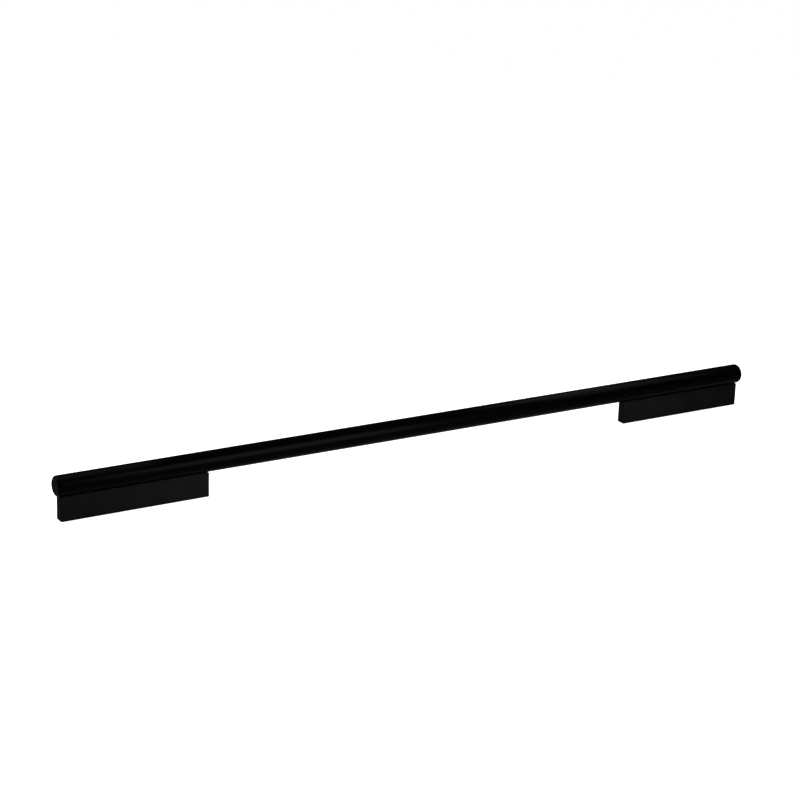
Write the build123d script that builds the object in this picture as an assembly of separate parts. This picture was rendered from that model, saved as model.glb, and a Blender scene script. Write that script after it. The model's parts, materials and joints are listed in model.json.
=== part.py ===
from build123d import *
from math import radians, sqrt, tan
import os

# A straight door pull: a round bar on two flat feet that stand on edge, held together by screws from below.
# The door's face is the plane z = 0, the bar runs along X and Z points away from the door. Millimetres.

# Layout on the door
fixing_centres = 600.0
projection = 41.5

# Round bar, with its rims rounded and its ends beyond the feet
bar_diameter = 19.0
bar_overhang = 3.5
bar_rim_radius = 3.0

# Flat feet, each with a shallow round seat along its top edge
foot_length = 142.0
foot_thickness = 10.0
foot_edge_radius = 1.0
seat_depth = 0.4
seat_clearance = 0.05

# Blind M5 fixing hole in the middle of each foot, at its tapping size
fixing_hole_diameter = 4.2
fixing_hole_roof = 8.0
fixing_hole_chamfer = 0.5

# Countersunk M3 screws that hold the bar, two in each foot
screw_diameter = 3.0
screw_inset = 30.0
screw_recess = 0.3
screw_engagement = 7.3
screw_tip_chamfer = 0.4
head_diameter = 5.5
head_rim = 0.25
socket_width = 2.0
socket_depth = 1.1

# Clearances round the screws: in the foot, at the head, in the bar and beyond the tip
bore_clearance = 0.2
head_clearance = 0.05
thread_clearance = 0.05
tip_clearance = 1.5
drill_point_angle = 118.0

# Worked out from the sizes above
bar_radius = bar_diameter / 2
bar_length = fixing_centres + foot_length + 2 * bar_overhang
bar_underside = projection - bar_diameter
bar_axis_height = projection - bar_radius
foot_height = bar_underside + seat_depth
foot_centre = fixing_centres / 2
screw_offset = foot_length / 2 - screw_inset
screw_length = bar_underside - screw_recess + screw_engagement
screw_places = [side * foot_centre + end * screw_offset for side in (-1, 1) for end in (-1, 1)]


def turned(*points):
    """A solid of revolution about Z from (radius, height) points that start and end on the axis."""
    return revolve(Plane.XZ * make_face(Polyline(*points, close=True)), Axis.Z)


def drilled_hole(diameter, depth):
    """A blind hole up Z from the plane z = 0, with the drill's point at its end."""
    radius = diameter / 2
    point = radius / tan(radians(drill_point_angle / 2))
    return turned((0, -radius), (radius, -radius), (radius, depth), (0, depth + point))


def countersunk_bore():
    """The way of a joining screw through a foot, from under its head to past the foot's top."""
    wall = screw_diameter / 2 + bore_clearance
    mouth = head_diameter / 2 + head_clearance
    seat = screw_recess + head_rim
    return turned(
        (0, -foot_height),
        (mouth, -foot_height),
        (mouth, seat),
        (wall, seat + mouth - wall),
        (wall, 2 * foot_height),
        (0, 2 * foot_height),
    )


def fixing_hole():
    """The tapped hole in a foot's underside, with a chamfered mouth."""
    radius = fixing_hole_diameter / 2
    depth = bar_underside - fixing_hole_roof
    mouth = radius + 2 * fixing_hole_chamfer
    chamfer = turned((0, -fixing_hole_chamfer), (mouth, -fixing_hole_chamfer), (0, mouth - fixing_hole_chamfer))
    return drilled_hole(fixing_hole_diameter, depth) + chamfer


def grip_bar():
    """The round bar, with a blind hole in its underside for each joining screw."""
    bar = Rot(0, 90, 0) * Cylinder(bar_radius, bar_length)
    rims = bar.edges().filter_by(GeomType.CIRCLE)
    bar = Pos(0, 0, bar_axis_height) * fillet(rims, bar_rim_radius)
    hole = drilled_hole(screw_diameter + 2 * thread_clearance, screw_engagement + tip_clearance)
    return bar - [Pos(x, 0, bar_underside) * hole for x in screw_places]


def foot():
    """One foot about its own fixing hole: a flat bar on edge, with the bar's seat along its top."""
    blank = Box(foot_length, foot_thickness, foot_height, align=(Align.CENTER, Align.CENTER, Align.MIN))
    blank = fillet(blank.edges(), foot_edge_radius)
    seat = Rot(0, 90, 0) * Cylinder(bar_radius + seat_clearance, 2 * foot_length)
    bores = [Pos(x, 0, 0) * countersunk_bore() for x in (-screw_offset, screw_offset)]
    return blank - Pos(0, 0, bar_axis_height + seat_clearance) * seat - fixing_hole() - bores


def joining_screw():
    """A countersunk screw with a hexagon socket, head down, as it sits in a foot."""
    shank = screw_diameter / 2
    head = head_diameter / 2
    seat = screw_recess + head_rim
    tip = screw_recess + screw_length
    body = turned(
        (0, screw_recess),
        (head, screw_recess),
        (head, seat),
        (shank, seat + head - shank),
        (shank, tip - screw_tip_chamfer),
        (shank - screw_tip_chamfer, tip),
        (0, tip),
    )
    socket = extrude(RegularPolygon(socket_width / sqrt(3), 6), socket_depth)
    return body - Pos(0, 0, screw_recess) * socket


nodes = {
    "grip_bar": grip_bar(),
    "left_foot": Pos(-foot_centre, 0, 0) * foot(),
    "right_foot": Pos(foot_centre, 0, 0) * foot(),
    "bar_screws": Compound(children=[Pos(x, 0, 0) * joining_screw() for x in screw_places]),
}

os.makedirs("parts", exist_ok=True)
for name, shape in nodes.items():
    export_step(shape, f"parts/{name}.step")
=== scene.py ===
import json
from math import cos, pi, radians, sin, sqrt, tan

import bmesh
import bpy
from mathutils import Matrix, Vector


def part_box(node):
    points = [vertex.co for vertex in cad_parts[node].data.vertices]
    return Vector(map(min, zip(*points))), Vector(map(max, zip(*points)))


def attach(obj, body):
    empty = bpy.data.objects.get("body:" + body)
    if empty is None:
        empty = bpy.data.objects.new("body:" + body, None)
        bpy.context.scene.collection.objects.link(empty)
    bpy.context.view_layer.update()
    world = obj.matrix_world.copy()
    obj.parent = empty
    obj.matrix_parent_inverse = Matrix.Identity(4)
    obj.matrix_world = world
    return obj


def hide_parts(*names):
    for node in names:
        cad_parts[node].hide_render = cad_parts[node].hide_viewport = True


# A straight door pull: a round bar on two flat feet, in satin black. The frame is in metres.
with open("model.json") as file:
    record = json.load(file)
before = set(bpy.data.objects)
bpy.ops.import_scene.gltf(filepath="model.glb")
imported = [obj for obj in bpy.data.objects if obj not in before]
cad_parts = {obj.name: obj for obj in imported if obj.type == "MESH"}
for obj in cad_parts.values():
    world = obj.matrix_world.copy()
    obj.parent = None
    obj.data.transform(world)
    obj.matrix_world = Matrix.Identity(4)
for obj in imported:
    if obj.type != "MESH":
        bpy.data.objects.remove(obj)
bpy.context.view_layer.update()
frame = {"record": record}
mm = 0.001

# Sizes read from the frame
bar_lo, bar_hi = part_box("grip_bar")
bar_length = bar_hi.x - bar_lo.x
bar_radius = (bar_hi.z - bar_lo.z) / 2
bar_underside = bar_lo.z
bar_axis = (bar_lo.z + bar_hi.z) / 2
screws_lo, screws_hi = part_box("bar_screws")
screw_head_z = screws_lo.z
screw_tip_z = screws_hi.z
head_radius = (screws_hi.y - screws_lo.y) / 2
fixing = next(m for m in frame["record"]["mounts"] if m["name"] == "fixing_holes")
fixing_radius = fixing["dims"]["hole_r_mm"] * mm

# Edges, clearances and hole depths, as in the CAD solids
bar_rim_radius = 3.0 * mm
foot_edge_radius = 1.0 * mm
seat_clearance = 0.05 * mm
fixing_roof = 8.0 * mm
fixing_chamfer = 0.5 * mm
screw_inset = 30.0 * mm
shank_radius = 1.5 * mm
head_rim = 0.25 * mm
tip_chamfer = 0.4 * mm
socket_width = 2.0 * mm
socket_depth = 1.1 * mm
bore_clearance = 0.2 * mm
head_clearance = 0.05 * mm
thread_clearance = 0.05 * mm
tip_clearance = 1.5 * mm
drill_point_angle = radians(118.0)

# Worked out from these
fixing_depth = bar_underside - fixing_roof
bore_radius = shank_radius + bore_clearance
mouth_radius = head_radius + head_clearance
bar_hole_radius = shank_radius + thread_clearance
bar_hole_top = screw_tip_z + tip_clearance

# Metric threads: sizes, flats as shares of the pitch, and the bare core below a screw's thread
fixing_pitch = 0.8 * mm
fixing_thread_depth = 0.4 * mm
screw_pitch = 0.5 * mm
screw_thread_depth = 0.27 * mm
screw_thread_length = 18.0 * mm
crest_flat = 0.15
root_flat = 0.2
thread_relief = 0.2 * screw_pitch

# Fine forms of the screws, and the turn, in degrees, to which each is tightened
head_chamfer = 0.1 * mm
socket_cone = 0.3 * mm
socket_sides = 6
screw_turns = (12.0, 41.0, 27.0, 5.0)

# Fineness of the meshes, the bevel of a round edge, and the limits of a weld, a sharp edge and an end face
bar_segments = 144
rim_segments = 16
edge_segments = 8
round_profile = 0.5
seat_segments = 288
hole_segments = 48
thread_segments = 36
thread_steps = 8
weld_distance = 0.001 * mm
sharp_angle = radians(14.0)
end_face_cosine = cos(radians(1.0))

# Rings on flat faces and tiny flats at points, most of them as shares of the radius there
end_ring_share = 0.5
end_ring_inset = 0.2 * mm
head_ring_share = 0.7
socket_flat_share = 0.1
drill_flat_share = 0.05

# The coat's texture: noises per metre, the span of the cloudy tone, and the bumps' strengths and heights
grain_scale = 1500.0
peel_scale = 420.0
cloud_scale = 45.0
cloud_span = (0.3, 0.7)
peel_strength, peel_height = 0.3, 0.06 * mm
grain_strength, grain_height = 0.35, 0.03 * mm

# The screws' black oxide: noise per metre, the tones at two of its levels, roughness, bump and metal share
oxide_scale = 2600.0
oxide_tones = ((0.35, (0.030, 0.030, 0.032, 1)), (0.75, (0.075, 0.075, 0.078, 1)))
oxide_roughness = (0.3, 0.48)
oxide_strength, oxide_height = 0.3, 0.02 * mm
oxide_metallic = 0.85

# The floor: its own grey, how brightly its white shows in the picture and in reflections, its half width
# and how far it lies under the feet
floor_grey = 0.75
floor_white = 0.9
floor_half = 20.0
floor_drop = 0.1 * mm

# The even surround, and the two softboxes with grids that narrow their beams
surround_strength = 0.13
gridded = {"size": (0.36, 0.45), "power": 1.43, "spread": radians(103.0)}

# The photo's view: direction and distance from the middle of the bar, roll, framing and lens
view_azimuth = radians(-31.764)
view_elevation = radians(18.005)
view_roll = radians(1.796)
view_distance = 2.11131
view_across, view_above = -0.02432, 0.02325
lens_mm, sensor_mm = 101.124, 36.0
view_end = 100.0


def ring(radius, height, count):
    """Points of a circle about Z. The radius is a number or a function of the angle."""
    angles = [2 * pi * i / count for i in range(count)]
    radii = [radius(a) if callable(radius) else radius for a in angles]
    return [Vector((r * cos(a), r * sin(a), height)) for r, a in zip(radii, angles)]


def turned(profile, count):
    """A closed mesh turned about Z from (radius, height) pairs, with a fan of faces at either end."""
    mesh = bmesh.new()
    loops = [[mesh.verts.new(point) for point in ring(*pair, count)] for pair in profile]
    for low, high in zip(loops, loops[1:]):
        for i in range(count):
            j = (i + 1) % count
            mesh.faces.new((low[i], low[j], high[j], high[i]))
    for loop in (loops[0], loops[-1]):
        centre = mesh.verts.new((0, 0, loop[0].co.z))
        for i in range(count):
            mesh.faces.new((loop[i], loop[(i + 1) % count], centre))
    bmesh.ops.recalc_face_normals(mesh, faces=mesh.faces)
    return mesh


def thread(crest, depth, pitch, low, high):
    """(radius, height) pairs of a helical thread from low to high, each radius a function of the angle."""
    steps = round((high - low) / pitch * thread_steps)

    def radius_at(height):
        def radius(angle):
            phase = (height / pitch - angle / (2 * pi)) % 1
            slope = (abs(2 * phase - 1) - crest_flat) / (1 - crest_flat - root_flat)
            return crest - depth * min(max(slope, 0), 1)
        return radius

    heights = [low + (high - low) * i / steps for i in range(steps + 1)]
    return [(radius_at(height), height) for height in heights]


def arc(centre_radius, centre_height, radius, start, end, steps):
    """(radius, height) pairs along an arc, its angles in degrees from the outward direction towards up."""
    angles = [radians(start + (end - start) * i / steps) for i in range(steps + 1)]
    return [(centre_radius + radius * cos(a), centre_height + radius * sin(a)) for a in angles]


def drill_point(radius, height):
    """(radius, height) pairs of a drill's point, from its full width at a height to a tiny flat."""
    length = radius / tan(drill_point_angle / 2)
    return [(radius, height), (drill_flat_share * radius, height + length * (1 - drill_flat_share))]


def moved(mesh, matrix):
    """A mesh after a move."""
    bmesh.ops.transform(mesh, matrix=matrix, verts=mesh.verts)
    return mesh


def along_x(mesh, z):
    """A mesh that was turned about Z, laid along X at a height."""
    return moved(mesh, Matrix.Translation((0, 0, z)) @ Matrix.Rotation(pi / 2, 4, "Y"))


def at_x(mesh, x):
    """A mesh that was made about Z, set at a place along X."""
    return moved(mesh, Matrix.Translation((x, 0, 0)))


def linked(name, mesh):
    """A scene object from a bmesh, which is freed."""
    data = bpy.data.meshes.new(name)
    mesh.to_mesh(data)
    mesh.free()
    obj = bpy.data.objects.new(name, data)
    bpy.context.scene.collection.objects.link(obj)
    return obj


def cut(blank, cutters):
    """The bmesh blank less each of the cutters, as mesh data, with doubled points welded."""
    body = linked("blank", blank)
    tools = [linked("cutter", cutter) for cutter in cutters]
    for tool in tools:
        step = body.modifiers.new("cut", "BOOLEAN")
        step.operation = "DIFFERENCE"
        step.solver = "EXACT"
        step.object = tool
    depsgraph = bpy.context.evaluated_depsgraph_get()
    data = bpy.data.meshes.new_from_object(body.evaluated_get(depsgraph))
    for obj in [body, *tools]:
        spent = obj.data
        bpy.data.objects.remove(obj)
        bpy.data.meshes.remove(spent)
    mesh = bmesh.new()
    mesh.from_mesh(data)
    bmesh.ops.remove_doubles(mesh, verts=mesh.verts, dist=weld_distance)
    mesh.to_mesh(data)
    mesh.free()
    return data


def finished(name, data, node, material):
    """A piece with even shading that stands for a CAD node."""
    data.name = name
    data.shade_smooth()
    data.set_sharp_from_angle(angle=sharp_angle)
    data.materials.clear()
    data.materials.append(material)
    obj = bpy.data.objects.new(name, data)
    bpy.context.scene.collection.objects.link(obj)
    even = obj.modifiers.new("even_normals", "WEIGHTED_NORMAL")
    even.keep_sharp = True
    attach(obj, "root")
    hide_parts(node)
    return obj


def coat_ends(data, coat):
    """Gives the faces that look along X the second material: a copy of the black coat with a tone of painted
    shade and a roughness of its own.
    """
    data.materials.append(coat)
    for face in data.polygons:
        if abs(face.normal.x) > end_face_cosine:
            face.material_index = 1


def screws_in(node):
    """Where the two joining screws of a foot stand along X."""
    lo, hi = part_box(node)
    return [lo.x + screw_inset, hi.x - screw_inset]


def bar_mesh():
    """The bar with its rounded rims, and a blind hole in its underside for each screw."""
    half = bar_length / 2
    rim_centre = half - bar_rim_radius
    flat = bar_radius - bar_rim_radius
    inner, outer = end_ring_share * flat, flat - end_ring_inset
    near_hole = 2 * bar_hole_radius
    profile = [(inner, -half), (outer, -half)]
    profile += arc(flat, -rim_centre, bar_rim_radius, -90, 0, rim_segments)
    profile += [(bar_radius, x + side * near_hole) for x in screw_places for side in (-1, 1)]
    profile += arc(flat, rim_centre, bar_rim_radius, 0, 90, rim_segments)
    profile += [(outer, half), (inner, half)]
    blank = along_x(turned(profile, bar_segments), bar_axis)
    drill = [(bar_hole_radius, bar_underside - bar_hole_radius), *drill_point(bar_hole_radius, bar_hole_top)]
    return cut(blank, [at_x(turned(drill, hole_segments), x) for x in screw_places])


def foot_blank(lo, hi):
    """A flat bar between two corners, with all its edges rounded."""
    mesh = bmesh.new()
    bmesh.ops.create_cube(mesh, size=1.0)
    moved(mesh, Matrix.Translation((lo + hi) / 2) @ Matrix.Diagonal((*(hi - lo), 1.0)))
    bmesh.ops.bevel(
        mesh, geom=mesh.edges[:], affect="EDGES",
        offset=foot_edge_radius, segments=edge_segments, profile=round_profile,
    )
    return mesh


def tapped_hole():
    """The shape of the fixing hole: a chamfered mouth, a thread and the drill's point."""
    crest = fixing_radius + fixing_thread_depth
    mouth = fixing_radius + fixing_chamfer
    profile = [(mouth + fixing_chamfer, -fixing_chamfer), (mouth, 0.0)]
    profile += thread(crest, fixing_thread_depth, fixing_pitch, fixing_chamfer, fixing_depth - fixing_pitch)
    profile += drill_point(fixing_radius, fixing_depth)
    return turned(profile, thread_segments)


def countersunk_bore():
    """The way of a joining screw through a foot, up into the bar."""
    seat = screw_head_z + head_rim
    profile = [(mouth_radius, -mouth_radius), (mouth_radius, seat)]
    profile += [(bore_radius, seat + mouth_radius - bore_radius), (bore_radius, bar_axis)]
    return turned(profile, hole_segments)


def foot_mesh(node):
    """A foot with the bar's seat along its top, the fixing hole and the two screw bores."""
    lo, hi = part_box(node)
    seat_radius = bar_radius + seat_clearance
    seat = turned([(seat_radius, -bar_length), (seat_radius, bar_length)], seat_segments)
    cutters = [along_x(seat, bar_axis + seat_clearance), at_x(tapped_hole(), (lo.x + hi.x) / 2)]
    cutters += [at_x(countersunk_bore(), x) for x in screws_in(node)]
    return cut(foot_blank(lo, hi), cutters)


def screw_mesh():
    """One countersunk screw, head down: hexagon socket, plain shank and a rolled thread."""
    seat = screw_head_z + head_rim
    neck = seat + head_radius - shank_radius
    core = shank_radius - screw_thread_depth
    thread_start = screw_tip_z - screw_thread_length
    profile = [(head_ring_share * head_radius, screw_head_z), (head_radius - head_chamfer, screw_head_z)]
    profile += [(head_radius, screw_head_z + head_chamfer), (head_radius, seat), (shank_radius, neck)]
    profile += [(shank_radius, thread_start - screw_pitch), (core, thread_start - thread_relief)]
    profile += thread(shank_radius, screw_thread_depth, screw_pitch, thread_start, screw_tip_z - tip_chamfer)
    profile += [(shank_radius - tip_chamfer, screw_tip_z)]
    corner = socket_width / sqrt(3)
    bottom = screw_head_z + socket_depth
    socket = [(corner, screw_head_z - socket_depth), (corner, bottom - socket_cone)]
    socket += [(socket_flat_share * corner, bottom)]
    return cut(turned(profile, thread_segments), [turned(socket, socket_sides)])


def screws_mesh():
    """The four joining screws, each tightened to a different turn."""
    single = screw_mesh()
    group = bmesh.new()
    for x, turn in zip(screw_places, screw_turns):
        known = len(group.verts)
        group.from_mesh(single)
        group.verts.ensure_lookup_table()
        place = Matrix.Translation((x, 0, 0)) @ Matrix.Rotation(radians(turn), 4, "Z")
        bmesh.ops.transform(group, matrix=place, verts=group.verts[known:])
    data = bpy.data.meshes.new("screws")
    group.to_mesh(data)
    group.free()
    bpy.data.meshes.remove(single)
    return data


def grey(level):
    """A neutral colour."""
    return (level, level, level, 1)


def shader(name):
    """A node material, its shader, a function that links and one that adds a node with inputs and links."""
    material = bpy.data.materials.new(name)
    material.use_nodes = True
    tree = material.node_tree
    surface = tree.nodes["Principled BSDF"]

    def add(kind, inputs=None, **settings):
        node = tree.nodes.new(kind)
        for key, value in settings.items():
            setattr(node, key, value)
        for key, value in (inputs or {}).items():
            if isinstance(value, bpy.types.NodeSocket):
                tree.links.new(value, node.inputs[key])
            else:
                node.inputs[key].default_value = value
        return node

    return material, surface, tree.links.new, add


def noise(add, place, scale, detail, roughness=0.5):
    """Noise over a place, at a scale per metre."""
    inputs = {"Vector": place, "Scale": scale, "Detail": detail, "Roughness": roughness}
    return add("ShaderNodeTexNoise", inputs).outputs["Fac"]


def ramp(add, factor, stops):
    """A colour that runs between two (position, colour) stops."""
    node = add("ShaderNodeValToRGB", {"Fac": factor})
    for stop, (position, colour) in zip(node.color_ramp.elements, stops):
        stop.position = position
        stop.color = colour
    return node.outputs["Color"]


def coat_material(name, deep, pale, roughness, specular):
    """Satin black powder coat: a fine orange peel, with slightly uneven gloss and depth of black."""
    material, surface, link, add = shader(name)
    place = add("ShaderNodeTexCoord").outputs["Object"]
    grain = noise(add, place, grain_scale, detail=3.0, roughness=0.6)
    peel = noise(add, place, peel_scale, detail=2.0)
    cloud = noise(add, place, cloud_scale, detail=4.0)
    tones = zip(cloud_span, (grey(deep), grey(pale)))
    smooth, rough = roughness
    gloss = add("ShaderNodeMapRange", {"Value": grain, "To Min": smooth, "To Max": rough})
    low = add("ShaderNodeBump", {"Height": peel, "Strength": peel_strength, "Distance": peel_height})
    fine = {"Height": grain, "Strength": grain_strength, "Distance": grain_height}
    bump = add("ShaderNodeBump", {**fine, "Normal": low.outputs["Normal"]})
    link(ramp(add, cloud, tones), surface.inputs["Base Color"])
    link(gloss.outputs["Result"], surface.inputs["Roughness"])
    link(bump.outputs["Normal"], surface.inputs["Normal"])
    surface.inputs["Specular IOR Level"].default_value = specular
    return material


def screw_material():
    """Black oxide on steel, with a fine grain in its tone, gloss and surface."""
    material, surface, link, add = shader("screw_steel")
    place = add("ShaderNodeTexCoord").outputs["Object"]
    grain = noise(add, place, oxide_scale, detail=4.0, roughness=0.65)
    smooth, rough = oxide_roughness
    gloss = add("ShaderNodeMapRange", {"Value": grain, "To Min": smooth, "To Max": rough})
    bump = add("ShaderNodeBump", {"Height": grain, "Strength": oxide_strength, "Distance": oxide_height})
    link(ramp(add, grain, oxide_tones), surface.inputs["Base Color"])
    link(gloss.outputs["Result"], surface.inputs["Roughness"])
    link(bump.outputs["Normal"], surface.inputs["Normal"])
    surface.inputs["Metallic"].default_value = oxide_metallic
    return material


def floor_material():
    """A pale floor that shows white in the picture and in reflections, and keeps the object's shadow."""
    material, surface, link, add = shader("floor_white")
    path = add("ShaderNodeLightPath").outputs
    rays = {0: path["Is Glossy Ray"], 1: path["Is Transmission Ray"]}
    mirrored = add("ShaderNodeMath", rays, operation="MAXIMUM").outputs[0]
    pale = add("ShaderNodeBsdfDiffuse", {"Color": grey(floor_grey)}).outputs[0]
    white = add("ShaderNodeEmission", {"Color": grey(1), "Strength": floor_white}).outputs[0]
    picture = add("ShaderNodeAddShader", {0: white, 1: pale}).outputs[0]
    direct = add("ShaderNodeMixShader", {0: path["Is Camera Ray"], 1: pale, 2: picture}).outputs[0]
    both = add("ShaderNodeMixShader", {0: mirrored, 1: direct, 2: white}).outputs[0]
    nodes = material.node_tree.nodes
    link(both, nodes["Material Output"].inputs["Surface"])
    nodes.remove(surface)
    material.cycles.emission_sampling = "NONE"
    return material


def facing(location, target):
    """A rotation that points an object's -Z from a location to a target."""
    return (Vector(target) - Vector(location)).to_track_quat("-Z", "Y").to_euler()


def softbox(name, location, rotation, size, power, spread=pi):
    """A rectangular lamp that the camera doesn't see."""
    data = bpy.data.lights.new(name, "AREA")
    data.shape = "RECTANGLE"
    data.size, data.size_y = size
    data.energy = power
    data.spread = spread
    lamp = bpy.data.objects.new(name, data)
    lamp.location = location
    lamp.rotation_euler = rotation
    lamp.visible_camera = False
    bpy.context.scene.collection.objects.link(lamp)


def place_camera():
    """The camera, at the photo's view."""
    ahead = cos(view_elevation)
    back = Vector((sin(view_azimuth) * ahead, -cos(view_azimuth) * ahead, sin(view_elevation)))
    level = (-back).cross(Vector((0, 0, 1))).normalized()
    upright = level.cross(-back)
    right = cos(view_roll) * level + sin(view_roll) * upright
    up = cos(view_roll) * upright - sin(view_roll) * level
    data = bpy.data.cameras.new("camera")
    data.sensor_width = sensor_mm
    data.lens = lens_mm
    data.clip_end = view_end
    camera = bpy.data.objects.new("camera", data)
    middle = Vector((0, 0, bar_axis))
    place = Matrix((right, up, back)).transposed().to_4x4()
    place.translation = middle + view_distance * back + view_across * right + view_above * up
    camera.matrix_world = place
    bpy.context.scene.collection.objects.link(camera)
    bpy.context.scene.camera = camera


# The pieces. The bar's side is the smoothest, and its end faces are nearly as matt as the feet. The three
# coats are lit and shaded copies of one black coat: the bar's side is painted darkest, the end faces less
# dark and the feet lightest, which is painted shade and painted light, not a difference in the coat.
screw_places = screws_in("left_foot") + screws_in("right_foot")
shaded_bar_coat = coat_material("shaded_bar_coat", deep=0.0005, pale=0.0007, roughness=(0.2, 0.28), specular=0.01)
lit_foot_coat = coat_material("lit_foot_coat", deep=0.0058, pale=0.0082, roughness=(0.45, 0.55), specular=0.003)
shaded_end_coat = coat_material("shaded_end_coat", deep=0.0026, pale=0.0036, roughness=(0.45, 0.55), specular=0.003)
bar = finished("round_bar", bar_mesh(), "grip_bar", shaded_bar_coat)
coat_ends(bar.data, shaded_end_coat)
finished("foot_left", foot_mesh("left_foot"), "left_foot", lit_foot_coat)
finished("foot_right", foot_mesh("right_foot"), "right_foot", lit_foot_coat)
finished("joining_screws", screws_mesh(), "bar_screws", screw_material())

# Floor
floor_mesh = bmesh.new()
bmesh.ops.create_grid(floor_mesh, x_segments=1, y_segments=1, size=floor_half)
moved(floor_mesh, Matrix.Translation((0, 0, -floor_drop)))
floor = linked("floor", floor_mesh)
floor.data.materials.append(floor_material())

# Light: gridded softboxes at the front and at the left of the back, one over each end and an even surround
front = (0.101, -0.502, 0.262)
softbox("front_softbox", front, facing(front, (-0.12, 0, bar_axis)), **gridded)
back = (-0.697, 0.357, 0.467)
softbox("back_softbox", back, facing(back, (0.1, 0, bar_axis)), **gridded)
right_turn = (0, 0, radians(-59.3))
softbox("right_softbox", (0.357, 0.003, 0.256), right_turn, size=(0.312, 0.201), power=0.633)
softbox("left_softbox", (-0.315, 0.02, 0.16), (0, 0, 0), size=(0.18, 0.13), power=0.16)
world = bpy.data.worlds.new("surround")
world.use_nodes = True
background = world.node_tree.nodes["Background"].inputs
background["Color"].default_value = grey(1)
background["Strength"].default_value = surround_strength
bpy.context.scene.world = world

place_camera()
bpy.context.scene.view_settings.view_transform = "Standard"
